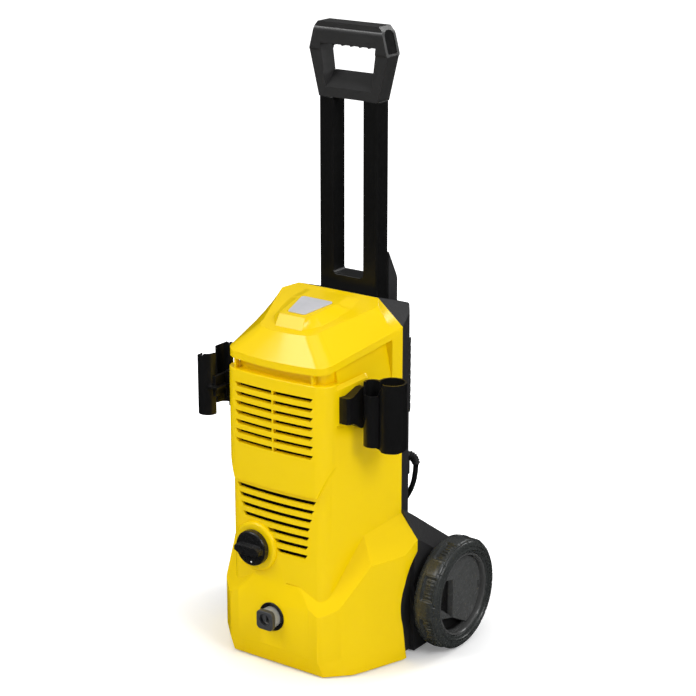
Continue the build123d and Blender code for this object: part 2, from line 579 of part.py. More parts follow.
# ---------------------------------------------------------------- switch and outlet
def power_knob():
    disc = rod_y(KNOB_X, KNOB_Z, KNOB_R, KNOB_BOSS_Y - 9, KNOB_BOSS_Y - 0.5)
    disc = fillet(disc.edges().group_by(Axis.Y)[0], 3.0)
    half = [(21, 3.5), (13, 7.5), (-13, 7.5), (-21, 3.5)]
    bar = Plane.XZ.offset(8 - KNOB_BOSS_Y) * (Pos(KNOB_X, KNOB_Z) * Polygon(*half, *[(-x, -z) for x, z in half],
                                                                            align=None))
    ridge = extrude(bar, KNOB_BOSS_Y - 8 - KNOB_FACE_Y, dir=(0, -1, 0), taper=14)
    ridge &= rod_y(KNOB_X, KNOB_Z, 20.5, KNOB_FACE_Y - 5, KNOB_BOSS_Y)
    return disc + ridge + rod_y(KNOB_X, KNOB_Z, 4, KNOB_BOSS_Y - 1, -92)


def switch_box():
    box = block((KNOB_X - 15, KNOB_X + 15), (-103, -84), (KNOB_Z - 16, KNOB_Z + 16))
    return box - rod_y(KNOB_X, KNOB_Z, 4.06, -104, -91)


def outlet_ring():
    ring = rod_y(0, OUTLET_Z, OUTLET_R + 3, BASE_FRONT_Y - 1.5, BASE_FRONT_Y + 8)
    return ring - rod_y(0, OUTLET_Z, OUTLET_R - 0.5, BASE_FRONT_Y - 5, BASE_FRONT_Y + 12)


def outlet_socket():
    """Hose socket: collar at the front, pipe back to the pump head."""
    body = rod_y(0, OUTLET_Z, 13.4, -126, -100) + rod_y(0, OUTLET_Z, 9, -102, -66)
    return body - rod_y(0, OUTLET_Z, 5.5, -127, -60)


def outlet_latch():
    """Rounded square plate over the socket, pressed down to free the hose."""
    face = Plane.XZ.offset(133) * (Pos(0, OUTLET_Z) * RectangleRounded(25, 25, 6))
    plate = extrude(face, 6.4, dir=(0, 1, 0))
    plate = chamfer(plate.edges().group_by(Axis.Y)[0], 1.0)
    return plate - rod_y(0, OUTLET_Z + 1, 7.6, -140, -120)


def water_inlet():
    """Threaded garden-hose connector with its flange behind the rear wall."""
    y = REAR_BLOCK_Y
    body = rod_y(INLET_X, INLET_Z, INLET_THREAD_R, y - 20, y + 16) + rod_y(INLET_X, INLET_Z, 16.5, y - 20, y)
    return body - rod_y(INLET_X, INLET_Z, 8, y - 6, y + 17) - rod_y(INLET_X, INLET_Z, 4, y - 25, y)


def inlet_strainer():
    """Cup-shaped mesh filter in the mouth of the inlet."""
    y = REAR_BLOCK_Y
    cup = rod_y(INLET_X, INLET_Z, 8, y - 6, y + 9) - rod_y(INLET_X, INLET_Z, 6.4, y - 4, y + 10)
    for k in range(6):
        slot_cut = block((-0.8, 0.8), (y - 2, y + 6), (-9, 9))
        cup -= Pos(INLET_X, 0, INLET_Z) * Rot(0, 30 * k, 0) * slot_cut
    return cup


def inlet_hose():
    y = REAR_BLOCK_Y - 20
    path = FilletPolyline((INLET_X, y, INLET_Z), (INLET_X, 66, INLET_Z), (-15, 50, INLET_Z), (-15, 24, INLET_Z),
                          radius=14)
    section = Plane(origin=(INLET_X, y, INLET_Z), z_dir=(0, -1, 0)) * (Circle(7) - Circle(4))
    return sweep(section, path=path)


# ---------------------------------------------------------------- motor
def motor_housing():
    tube = tube_z(0, MOTOR_Y, 46, 43, 218, 372)
    for k in range(8):
        window = Pos(0, MOTOR_Y) * Rot(0, 0, 22.5 + 45 * k) * block((38, 50), (-7, 7), (352, 366))
        tube -= window
    return tube


def stator():
    core = tube_z(0, MOTOR_Y, 43, 26, 250, 310)
    return core - both_sides(block((18, 37), (MOTOR_Y - 13, MOTOR_Y + 13), (240, 320)))


def field_coils():
    coil = block((28, 37), (MOTOR_Y - 13, MOTOR_Y + 13), (244, 316))
    return both_sides(fillet(coil.edges().filter_by(Axis.X), 5))


def rotor_core():
    core = tube_z(0, MOTOR_Y, 25.2, SHAFT_R, 252, 308)
    slot_cut = block((19, 27), (-1.3, 1.3), (250, 310))
    return core - ring_of(Pos(0, MOTOR_Y) * slot_cut, 12, (0, MOTOR_Y))


def rotor_windings():
    ends = tube_z(0, MOTOR_Y, 22, SHAFT_R, 242, 252) + tube_z(0, MOTOR_Y, 22, SHAFT_R, 308, 318)
    return fillet(ends.edges().filter_by(GeomType.CIRCLE).filter_by(lambda e: e.radius > 20), 2.5)


def rotor_shaft():
    return rod_z(0, MOTOR_Y, SHAFT_R, 199, 384)


def commutator():
    drum = tube_z(0, MOTOR_Y, 13, SHAFT_R, 324, 342)
    groove = block((11.5, 14), (-0.4, 0.4), (323, 343))
    return drum - ring_of(Pos(0, MOTOR_Y) * groove, 16, (0, MOTOR_Y))


def cooling_fan():
    disc = tube_z(0, MOTOR_Y, 39, SHAFT_R, 352, 354) + tube_z(0, MOTOR_Y, 10, SHAFT_R, 352, 366)
    for k in range(9):
        blade = Rot(0, 0, 40 * k) * Pos(23.5, 4, 0) * Rot(0, 0, -25) * block((-14.5, 14.5), (-0.8, 0.8), (354, 365))
        disc += Pos(0, MOTOR_Y) * blade
    return disc


def brush_holders():
    holder = block((14.5, 40), (MOTOR_Y - 6, MOTOR_Y + 6), (326, 340))
    holder -= block((13, 36), (MOTOR_Y - 3.5, MOTOR_Y + 3.5), (328.5, 337.5))
    holder += block((40, 42.7), (MOTOR_Y - 4, MOTOR_Y + 4), (328, 338))
    return both_sides(holder)


def carbon_brushes():
    return both_sides(block((13.3, 30), (MOTOR_Y - 3.5, MOTOR_Y + 3.5), (328.5, 337.5)))


def motor_bearings():
    """Two ball bearings round the motor shaft, each of two rings and eight balls."""
    pieces = []
    for z in (211.0, 377.0):
        pieces += [tube_z(0, MOTOR_Y, 6.2, SHAFT_R + 0.03, z, z + 7), tube_z(0, MOTOR_Y, 11, 8.8, z, z + 7)]
        ball = Pos(7.5, 0, z + 3.5) * Sphere(1.25)
        pieces += [Pos(0, MOTOR_Y) * Rot(0, 0, 45 * k) * ball for k in range(8)]
    return Compound(children=pieces)


def motor_cap():
    cap = rod_z(0, MOTOR_Y, 46, 372, 376) + rod_z(0, MOTOR_Y, 14.5, 376, 388)
    cap -= rod_z(0, MOTOR_Y, 11, 377, 384.2)
    cap -= rod_z(0, MOTOR_Y, SHAFT_R + 1.5, 370, 385)
    for k in range(6):
        cap -= Pos(0, MOTOR_Y) * Rot(0, 0, 60 * k) * block((19, 38), (-4, 4), (370, 377))
    return cap


# ---------------------------------------------------------------- gearbox and pump
def gear(teeth, z0, z1, bore_r, turn=0.0):
    """Spur gear about the local Z axis, with straight-sided teeth that leave backlash."""
    pitch_r = GEAR_MODULE * teeth / 2
    root_r, tip_r = pitch_r - 1.25 * GEAR_MODULE, pitch_r + 0.85 * GEAR_MODULE
    half_pitch, half_tip, half_root = 0.21 * GEAR_MODULE * pi, 0.10 * GEAR_MODULE * pi, 0.33 * GEAR_MODULE * pi
    tooth = prism_z([(root_r - 0.5, -half_root), (pitch_r, -half_pitch), (tip_r, -half_tip), (tip_r, half_tip),
                     (pitch_r, half_pitch), (root_r - 0.5, half_root)], z0, z1)
    wheel = rod_z(0, 0, root_r, z0, z1)
    for k in range(teeth):
        wheel += Rot(0, 0, turn + 360 * k / teeth) * tooth
    return wheel - rod_z(0, 0, bore_r, z0 - 1, z1 + 1)


def gear_housing():
    body = rod_z(0, MOTOR_Y, 46, 196, 218) + rod_z(0, PUMP_Y, 38, 150, 218)
    body -= rod_z(0, PUMP_Y, 31, 149, 209) + rod_z(0, MOTOR_Y, 10, 198, 209)
    body -= rod_z(0, MOTOR_Y, 11, 211, 220) + rod_z(0, MOTOR_Y, SHAFT_R + 1.5, 205, 212)
    body -= rod_z(0, PUMP_Y, 5.05, 205, 215)
    return body - (block((-60, 60), (-110, -99), (150, 230)))


def swash_plate():
    """Slanted disc on the gear's shaft that drives the pistons down in turn."""
    drum = rod_z(0, PUMP_Y, 26, 160, 190)
    tilt = (sin(radians(SWASH_TILT)), 0, -cos(radians(SWASH_TILT)))
    drum = below(drum, (0, PUMP_Y, 174), tilt)
    shaft = rod_z(0, PUMP_Y, 5, 142, 199.6) + rod_z(0, PUMP_Y, 5, 207, 214)
    return drum + shaft + rod_z(0, PUMP_Y, 5, 199, 208)


def thrust_bearing():
    """Needle ring between the slanted disc and the pistons, parallel to the disc."""
    ring = Cylinder(25, 3, align=(Align.CENTER, Align.CENTER, Align.MAX)) - Cylinder(
        12, 3, align=(Align.CENTER, Align.CENTER, Align.MAX))
    return Pos(0, PUMP_Y, 174) * Rot(0, -SWASH_TILT, 0) * ring


def on_piston_circle(shape):
    return ring_of(Pos(0, PUMP_Y) * Pos(PISTON_CIRCLE_R, 0) * shape, PISTON_COUNT, (0, PUMP_Y), 90)


def pistons():
    one = rod_z(0, 0, PISTON_R, 96, 166) + rod_z(0, 0, 8.6, 162.5, 166)
    return on_piston_circle(one)


def piston_seals():
    return on_piston_circle(tube_z(0, 0, 8.5, PISTON_R, 146, 150))


def piston_springs():
    coils = [Pos(0, 0, 151 + 2.3 * k) * Torus(7.6, 0.9) for k in range(5)]
    return on_piston_circle(Compound(children=coils))


def pump_head():
    head = rod_z(0, PUMP_Y, 38, 60, 150)
    head += rod_y(0, OUTLET_Z, 13, -66, PUMP_Y) + rod_y(-15, INLET_Z, 9, PUMP_Y, 24)
    head -= rod_y(0, OUTLET_Z, 5.5, -67, PUMP_Y) + rod_y(-15, INLET_Z, 4, -5, 25)
    head -= rod_z(0, PUMP_Y, 5.05, 140, 151)
    head -= on_piston_circle(rod_z(0, 0, PISTON_R + 0.05, 90, 151) + rod_z(0, 0, 8.5, 146, 151))
    head -= on_piston_circle(rod_z(0, 0, 5, 76, 91))
    return head - block((-20, 20), (-80, 20), (50, 60))


def check_valves():
    return on_piston_circle(rod_z(0, 0, 4.9, 78, 80) + rod_z(0, 0, 2, 80, 87))


def pump_cover():
    cover = rod_z(0, PUMP_Y, 38, 52, 60)
    return cover - ring_of(rod_z(0, PUMP_Y + 33, 2, 50, 61), 4, (0, PUMP_Y))


def pressure_switch():
    """Stops the motor when the gun closes: a small box on the side of the pump head."""
    box = block((40, 62), (PUMP_Y - 12, PUMP_Y + 12), (98, 132)) + rod_x(PUMP_Y, 115, 6, 36, 41)
    return box - rod_z(0, PUMP_Y, 38, 90, 140)


# ---------------------------------------------------------------- cord
def tube_along(points, r):
    """A round cord along straight runs joined by tangent arcs, and the arcs' radii."""
    steps = [Vector(*b) - Vector(*a) for a, b in zip(points, points[1:])]
    radii = []
    for before, after in zip(steps, steps[1:]):
        half_turn = radians(before.get_angle(after)) / 2
        radii.append(0.45 * min(before.length, after.length) / tan(half_turn))
    path = FilletPolyline(*points, radius=radii)
    section = Plane(origin=points[0], z_dir=steps[0]) * Circle(r)
    tube = sweep(section, path=path)
    print("cord radii", [round(x, 1) for x in radii], "length", round(path.length, 1),
          "volume share", round(tube.volume / (path.length * pi * r * r), 4))
    return tube


def strain_relief():
    """Ribbed boot that leaves the slanted corner of the housing and turns down."""
    out = (cos(radians(36)), sin(radians(36)))
    exit_point = CORD_ROUTE[0]
    bend = (exit_point[0], exit_point[1], STRAIN_Z)
    start = (bend[0] - 13.5 * out[0], bend[1] - 13.5 * out[1], STRAIN_Z)
    path = FilletPolyline(start, bend, exit_point, radius=8)
    boot = sweep(Plane(origin=start, z_dir=(*out, 0)) * Circle(5.2), path=path)
    for k in range(6):
        t = 0.44 + 0.10 * k
        where, way = path @ t, path % t
        boot += Plane(origin=where, z_dir=way) * Cylinder(6.4, 1.5)
    return boot


def cord_coil():
    ring = tube_z(*COIL_CENTRE, COIL_OUT_R, COIL_IN_R, 0, COIL_HEIGHT)
    return fillet(ring.edges().filter_by(GeomType.CIRCLE), 5)


def cord_tie():
    """Strap round one place of the coil."""
    x, y = COIL_CENTRE
    band = block((x - COIL_OUT_R - 1.5, x - COIL_IN_R + 1.5), (y - 7, y + 7), (0, COIL_HEIGHT + 1.5))
    return band - cord_coil() - block((x - COIL_OUT_R + 0.2, x - COIL_IN_R - 0.2), (y - 9, y + 9),
                                      (-1, COIL_HEIGHT))


def power_plug():
    """Round moulded mains plug that lies on the floor, its pins towards -X."""
    x, y, z = TAIL_ROUTE[-1]
    body = rod_x(0, 0, 18, -38, -12)
    body = fillet(body.edges().group_by(Axis.X)[0], 2)
    neck = rod_x(0, 0, 8, -14, 0)
    pins = rod_x(9.5, 0, 2.4, -57, -37) + rod_x(-9.5, 0, 2.4, -57, -37)
    return Pos(x, y, z) * Rot(0, 0, 20) * (body + neck + pins)


def cord_hook():
    """Hook for the wound cord, just below the strain relief."""
    return prism_x([(86, 205), (99, 205), (99, 228), (95, 228), (95, 210), (86, 212)], 52, 58)


def front_feet():
    foot = [rod_z(x, FOOT_Y, 11, 0, 2.5) + rod_z(x, FOOT_Y, 4, 2.4, 8) for x in FOOT_X]
    return Compound(children=foot)


def screws():
    """The screws of the pump cover, and those that hold the two housings together."""
    pump_screw = Pos(0, PUMP_Y + 33, 52) * Rot(180, 0, 0) * screw_z(0, 0, 0, 8)
    housing = [screw_y(x, z, PART_Y + 12, 16) for x, z in HOUSING_SCREWS]
    return Compound(children=[*ring_of(pump_screw, 4, (0, PUMP_Y)).solids(), *housing])


def intake_baffle():
    """Dark sound baffle behind the grilles."""
    plate = block((-60, 60), (-101.5, -99.2), (118, 372))
    return plate - rod_y(KNOB_X, KNOB_Z, KNOB_BOSS_R + 1.5, -110, -90)


# ---------------------------------------------------------------- assembly
def build():
    trim = platform_solid()
    housing = front_housing() + (trim - hood_solid())
    trim_cut = block((-30, 30), (-90, -70.5), (400, 470)) & platform_solid()
    housing_top = housing - trim_cut
    hood_trim = trim_cut - hood_solid()
    tongue_hole = block((60, 95), BRACKET_TONGUE_Y, BRACKET_TONGUE_Z)
    housing_top -= both_sides(tongue_hole) + rod_y(KNOB_X, KNOB_Z, 4.4, -130, -100)
    badge = badge_plate()
    parts["front_housing"] = housing_top - badge
    parts["hood_trim"] = hood_trim
    parts["badge_plate"] = badge
    parts["rear_housing"] = rear_housing()
    parts["base_tray"] = base_tray()
    parts["front_feet"] = front_feet()
    parts["screws"] = screws()
    parts["intake_baffle"] = intake_baffle()
    parts["handle_guide"] = handle_guide()
    parts["handle_stem"] = handle_stem()
    parts["handle_grip"] = handle_grip()
    parts["grip_end_caps"] = grip_ends(2.0, 0.6)
    for side, word in ((-1, "left"), (1, "right")):
        parts[f"wheel_{word}_tyre"] = tyre(side)
        parts[f"wheel_{word}_rim"] = rim(side)
        parts[f"wheel_{word}_cover"] = wheel_cover(side)
    parts["axle"] = axle()
    parts["lance_holder"] = lance_holder()
    parts["gun_holder"] = gun_holder()
    parts["power_knob"] = power_knob()
    parts["switch_box"] = switch_box()
    parts["outlet_ring"] = outlet_ring()
    parts["outlet_socket"] = outlet_socket()
    parts["outlet_latch"] = outlet_latch()
    parts["water_inlet"] = water_inlet()
    parts["inlet_strainer"] = inlet_strainer()
    parts["inlet_hose"] = inlet_hose()
    parts["motor_housing"] = motor_housing()
    parts["motor_cap"] = motor_cap()
    parts["stator"] = stator()
    parts["field_coils"] = field_coils()
    parts["rotor_core"] = rotor_core()
    parts["rotor_windings"] = rotor_windings()
    parts["rotor_shaft"] = rotor_shaft()
    parts["commutator"] = commutator()
    parts["cooling_fan"] = cooling_fan()
    parts["brush_holders"] = brush_holders()
    parts["carbon_brushes"] = carbon_brushes()
    parts["motor_bearings"] = motor_bearings()
    parts["pinion"] = Pos(0, MOTOR_Y) * gear(PINION_TEETH, 199.5, 207.5, SHAFT_R, 90)
    parts["drive_gear"] = Pos(0, PUMP_Y) * gear(GEAR_TEETH, 200, 207, 5.0, 90 + 180 / GEAR_TEETH)
    parts["gear_housing"] = gear_housing()
    parts["swash_plate"] = swash_plate()
    parts["thrust_bearing"] = thrust_bearing() - rod_z(0, PUMP_Y, 5.2, 100, 200)
    parts["pistons"] = pistons()
    parts["piston_seals"] = piston_seals()
    parts["piston_springs"] = piston_springs()
    parts["pump_head"] = pump_head()
    parts["check_valves"] = check_valves()
    parts["pump_cover"] = pump_cover()
    parts["pressure_switch"] = pressure_switch()
    parts["strain_relief"] = strain_relief()
    parts["power_cord"] = tube_along(CORD_ROUTE, CORD_R)
    parts["cord_tail"] = tube_along(TAIL_ROUTE, CORD_R)
    parts["cord_coil"] = cord_coil()
    parts["cord_tie"] = cord_tie()
    parts["power_plug"] = power_plug()
    parts["cord_hook"] = cord_hook()


build()
os.makedirs("parts", exist_ok=True)
for name, shape in parts.items():
    export_step(Pos(0, SHIFT_Y, 0) * shape, f"parts/{name}.step")
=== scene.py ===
"""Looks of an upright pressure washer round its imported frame. Metres, +Z up, the front faces -Y."""
import json
from math import cos, pi, radians, sin

import bmesh
import bpy
import numpy as np
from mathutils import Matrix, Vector


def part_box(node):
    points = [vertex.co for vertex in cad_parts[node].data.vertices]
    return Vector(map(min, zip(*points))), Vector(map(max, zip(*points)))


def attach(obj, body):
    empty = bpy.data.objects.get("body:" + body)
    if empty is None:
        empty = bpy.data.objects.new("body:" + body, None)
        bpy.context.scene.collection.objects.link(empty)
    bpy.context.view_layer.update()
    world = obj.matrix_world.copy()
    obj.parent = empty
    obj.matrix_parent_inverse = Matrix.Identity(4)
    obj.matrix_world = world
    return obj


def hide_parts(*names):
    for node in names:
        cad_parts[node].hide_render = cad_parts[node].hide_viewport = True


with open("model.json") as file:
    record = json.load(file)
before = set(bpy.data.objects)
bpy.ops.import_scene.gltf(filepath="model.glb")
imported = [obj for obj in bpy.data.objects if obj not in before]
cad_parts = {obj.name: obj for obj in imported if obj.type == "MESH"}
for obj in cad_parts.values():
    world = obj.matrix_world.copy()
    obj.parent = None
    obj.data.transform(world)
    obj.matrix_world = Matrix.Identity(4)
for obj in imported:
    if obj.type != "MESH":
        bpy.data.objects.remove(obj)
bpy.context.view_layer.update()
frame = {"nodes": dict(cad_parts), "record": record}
nodes = frame["nodes"]

# ---- camera, lights and floor
# The machine stands on a plain pale floor in a white studio: large soft lamps high at the front left
# and the front right, a weak one overhead and a narrow one behind that lights the edges.
azimuth, elevation = radians(35.77), radians(17.48)
look_at = Vector((0.0541, -0.03735, 0.4062))
distance = 2.4844
back = Vector((sin(azimuth) * cos(elevation), -cos(azimuth) * cos(elevation), sin(elevation)))
camera = bpy.data.objects.new("camera", bpy.data.cameras.new("camera"))
bpy.context.scene.collection.objects.link(camera)
camera.location = look_at + back * distance
camera.rotation_mode = "QUATERNION"
camera.rotation_quaternion = (-back).to_track_quat("-Z", "Y")
camera.data.lens = 106.55
camera.data.clip_start, camera.data.clip_end = 0.05, 60.0
bpy.context.scene.camera = camera
bpy.context.scene.view_settings.view_transform = "Standard"


def softbox(name, place, width, height, power):
    """A rectangular lamp of that size in metres that faces the middle of the machine."""
    lamp = bpy.data.lights.new(name, "AREA")
    lamp.shape = "RECTANGLE"
    lamp.size, lamp.size_y, lamp.energy = width, height, power
    stand = bpy.data.objects.new(name, lamp)
    stand.location = place
    stand.rotation_mode = "QUATERNION"
    stand.rotation_quaternion = (look_at - Vector(place)).to_track_quat("-Z", "Y")
    bpy.context.scene.collection.objects.link(stand)


softbox("key_lamp", (-1.3, -2.1, 2.5), 1.2, 1.2, 38.0)
softbox("side_lamp", (2.2, -0.7, 1.9), 0.9, 1.2, 32.0)
softbox("top_lamp", (0.1, -0.5, 2.6), 1.4, 1.4, 8.0)
softbox("rim_lamp", (0.9, 2.2, 1.6), 0.5, 1.6, 16.0)


LOW_LINE, HIGH_LINE = 0.1, 0.9


def studio_air(seen, lighting, low_mirrored, high_mirrored):
    """The world's white: one strength where it is looked at, one as light, and in reflections a
    ramp with the height of the mirrored direction, from near the floor line to straight overhead."""
    world = bpy.data.worlds.new("studio")
    world.use_nodes = True
    bpy.context.scene.world = world
    tree = world.node_tree
    white = tree.nodes["Background"]
    white.inputs["Color"].default_value = (1, 1, 1, 1)
    ray = tree.nodes.new("ShaderNodeLightPath")
    direction = tree.nodes.new("ShaderNodeTexCoord")
    parts = tree.nodes.new("ShaderNodeSeparateXYZ")
    tree.links.new(direction.outputs["Generated"], parts.inputs["Vector"])
    climb = tree.nodes.new("ShaderNodeMapRange")
    for socket, value in (("From Min", LOW_LINE), ("From Max", HIGH_LINE),
                          ("To Min", low_mirrored), ("To Max", high_mirrored)):
        climb.inputs[socket].default_value = value
    tree.links.new(parts.outputs["Z"], climb.inputs["Value"])
    mirrored = tree.nodes.new("ShaderNodeMix")
    mirrored.inputs["A"].default_value = lighting
    tree.links.new(ray.outputs["Is Glossy Ray"], mirrored.inputs["Factor"])
    tree.links.new(climb.outputs["Result"], mirrored.inputs["B"])
    looked_at = tree.nodes.new("ShaderNodeMix")
    looked_at.inputs["B"].default_value = seen
    tree.links.new(ray.outputs["Is Camera Ray"], looked_at.inputs["Factor"])
    tree.links.new(mirrored.outputs["Result"], looked_at.inputs["A"])
    tree.links.new(looked_at.outputs["Result"], white.inputs["Strength"])


studio_air(seen=1.0, lighting=0.40, low_mirrored=0.0, high_mirrored=0.4)


GRAIN_HEIGHT = 0.0004


def finish(name, colour, roughness, grain=(1400.0, 0.05), mottle=(22.0, 0.05), specular=0.4, metal=0.0,
           stretch=(1.0, 1.0, 1.0), uneven=0.12):
    """A surface whose colour is mottled by a broad noise, whose roughness follows a finer one,
    and whose bump is the grain of its mould or its machining. Grain and mottle are a noise scale per
    metre and a strength."""
    material = bpy.data.materials.new(name)
    material.use_nodes = True
    tree = material.node_tree
    shader = tree.nodes["Principled BSDF"]
    shader.inputs["Metallic"].default_value = metal
    shader.inputs["Specular IOR Level"].default_value = specular
    place = tree.nodes.new("ShaderNodeTexCoord")
    turned = tree.nodes.new("ShaderNodeMapping")
    turned.inputs["Scale"].default_value = stretch
    tree.links.new(place.outputs["Object"], turned.inputs["Vector"])

    def noise(scale, detail):
        """Cloudy values between 0 and 1, around one half."""
        node = tree.nodes.new("ShaderNodeTexNoise")
        node.inputs["Scale"].default_value = scale
        node.inputs["Detail"].default_value = detail
        tree.links.new(turned.outputs["Vector"], node.inputs["Vector"])
        return node.outputs["Fac"]

    def spread(source, low, high):
        """The middle of a noise's range stretched between two values."""
        node = tree.nodes.new("ShaderNodeMapRange")
        node.inputs["From Min"].default_value, node.inputs["From Max"].default_value = 0.3, 0.7
        node.inputs["To Min"].default_value, node.inputs["To Max"].default_value = low, high
        tree.links.new(source, node.inputs["Value"])
        return node.outputs["Result"]

    blend = tree.nodes.new("ShaderNodeMix")
    blend.data_type = "RGBA"
    shift = mottle[1]
    blend.inputs["A"].default_value = (*[c * (1 - shift) for c in colour], 1)
    blend.inputs["B"].default_value = (*[min(1.0, c * (1 + shift)) for c in colour], 1)
    tree.links.new(spread(noise(mottle[0], 3.0), 0.0, 1.0), blend.inputs["Factor"])
    tree.links.new(blend.outputs["Result"], shader.inputs["Base Color"])
    wave = uneven * roughness
    rough = spread(noise(6 * mottle[0], 4.0), roughness - wave, roughness + wave)
    tree.links.new(rough, shader.inputs["Roughness"])
    bump = tree.nodes.new("ShaderNodeBump")
    bump.inputs["Strength"].default_value = grain[1]
    bump.inputs["Distance"].default_value = GRAIN_HEIGHT
    tree.links.new(noise(grain[0], 2.0), bump.inputs["Height"])
    tree.links.new(bump.outputs["Normal"], shader.inputs["Normal"])
    return material


def place_mesh(name, points, faces, material, body, replaced=(), crease=40.0):
    """A mesh object from whole arrays of points and faces, with its doubles merged, its faces turned
    outwards, and smooth except at edges over that angle."""
    mesh = bpy.data.meshes.new(name)
    mesh.from_pydata(np.asarray(points, float).reshape(-1, 3).tolist(), [], np.asarray(faces).tolist())
    mesh.validate()
    work = bmesh.new()
    work.from_mesh(mesh)
    bmesh.ops.remove_doubles(work, verts=work.verts, dist=1e-6)
    bmesh.ops.recalc_face_normals(work, faces=work.faces)
    work.to_mesh(mesh)
    work.free()
    mesh.shade_smooth()
    mesh.set_sharp_from_angle(angle=radians(crease))
    mesh.materials.append(material)
    piece = bpy.data.objects.new(name, mesh)
    bpy.context.scene.collection.objects.link(piece)
    if body:
        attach(piece, body)
    if replaced:
        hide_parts(*replaced)
    return piece


def grid_faces(rows, columns, wrap_rows=False, wrap_columns=False):
    """The four-sided faces of a grid of points, with either direction closed on itself."""
    i = np.arange(rows if wrap_rows else rows - 1)[:, None]
    j = np.arange(columns if wrap_columns else columns - 1)[None, :]
    i2, j2 = (i + 1) % rows, (j + 1) % columns
    corners = [i * columns + j, i2 * columns + j, i2 * columns + j2, i * columns + j2]
    return np.stack(corners, -1).reshape(-1, 4)


FLOOR_HALF, FLOOR_POINTS = 14.0, 9
floor_line = np.linspace(-FLOOR_HALF, FLOOR_HALF, FLOOR_POINTS)
floor_points = np.stack([*np.meshgrid(floor_line, floor_line, indexing="ij"),
                         np.zeros((FLOOR_POINTS, FLOOR_POINTS))], -1)
floor_look = finish("pale_floor", (0.93, 0.93, 0.93), 0.75, grain=(60.0, 0.02), mottle=(0.8, 0.01),
                    specular=0.0)


def brighten_away(material, near, far, strength):
    """The floor is seen white from the far radius on, and unlit inside the near one; it lights nothing."""
    tree = material.node_tree
    place = tree.nodes.new("ShaderNodeTexCoord")
    reach = tree.nodes.new("ShaderNodeVectorMath")
    reach.operation = "LENGTH"
    glow = tree.nodes.new("ShaderNodeMapRange")
    glow.interpolation_type = "SMOOTHSTEP"
    for socket, value in (("From Min", near), ("From Max", far), ("To Min", 0.0), ("To Max", strength)):
        glow.inputs[socket].default_value = value
    shader = tree.nodes["Principled BSDF"]
    shader.inputs["Emission Color"].default_value = (1, 1, 1, 1)
    tree.links.new(place.outputs["Object"], reach.inputs[0])
    tree.links.new(reach.outputs["Value"], glow.inputs["Value"])
    ray = tree.nodes.new("ShaderNodeLightPath")
    to_eye = tree.nodes.new("ShaderNodeMath")
    to_eye.operation = "MULTIPLY"
    tree.links.new(glow.outputs["Result"], to_eye.inputs[0])
    tree.links.new(ray.outputs["Is Camera Ray"], to_eye.inputs[1])
    tree.links.new(to_eye.outputs["Value"], shader.inputs["Emission Strength"])


brighten_away(floor_look, 0.0, 0.5, 0.92)
floor = place_mesh("floor", floor_points, grid_faces(FLOOR_POINTS, FLOOR_POINTS), floor_look, None)
floor.visible_glossy = False

# ---- power cord with its coil and plug
# Round black PVC lead, 7 mm thick and 5 m long. It leaves the rear housing through its boot, hangs
# down behind the machine and lies there in a neat coil held by a strap, with the plug beside it.
CORD_RADIUS, FLOOR_GAP = 0.0035, 0.0001
REAR = -0.00635
cord_route = [(0.077, 0.0846, 0.225), (0.0735, 0.0885, 0.209), (0.065, 0.0945, 0.190),
              (0.052, 0.103, 0.172), (0.036, 0.114, 0.155), (0.020, 0.127, 0.138),
              (0.007, 0.1395, 0.115), (0.0, 0.1475, 0.089), (-0.003, 0.1515, 0.062),
              (-0.003, 0.1555, 0.038), (0.001, 0.1665, 0.0185), (0.0075, 0.182, 0.0064)]
tail_route = [(-0.036, 0.2818, 0.0248), (-0.052, 0.2815, 0.0240), (-0.068, 0.2775, 0.0215),
              (-0.083, 0.2715, 0.0188), (-0.098, 0.266, 0.018)]
coil_centre = np.array([-0.035, 0.226])
COIL_OUTER, COIL_INNER, LAYER_RISE, LAYERS = 0.056, 0.028, 0.0072, 4
TURNS_PER_LAYER, CROSSING_TURNS, POINTS_PER_TURN = 4, 0.44, 16
COIL_START = radians(-22.0)


def coil_points():
    """Layers of a flat spiral, in and out by turns: the radius falls or grows by one cord a turn,
    and between two layers the cord climbs by one cord over part of a turn. The radius is widened so
    that the curve's control points lie outside the circle that the curve follows."""
    turn_marks, radii, heights = [0.0], [COIL_OUTER], [0.0]
    for layer in range(LAYERS):
        turn_marks.append(turn_marks[-1] + TURNS_PER_LAYER)
        radii.append(COIL_INNER if layer % 2 == 0 else COIL_OUTER)
        heights.append(layer * LAYER_RISE)
        if layer < LAYERS - 1:
            turn_marks.append(turn_marks[-1] + CROSSING_TURNS)
            radii.append(radii[-1])
            heights.append((layer + 1) * LAYER_RISE)
    turns = np.linspace(0.0, turn_marks[-1], int(turn_marks[-1] * POINTS_PER_TURN))
    angle = COIL_START + 2 * pi * turns
    radius = np.interp(turns, turn_marks, radii) / cos(pi / POINTS_PER_TURN)
    height = CORD_RADIUS + FLOOR_GAP + np.interp(turns, turn_marks, heights)
    return np.stack([coil_centre[0] + radius * np.cos(angle),
                     coil_centre[1] + radius * np.sin(angle), height], -1)


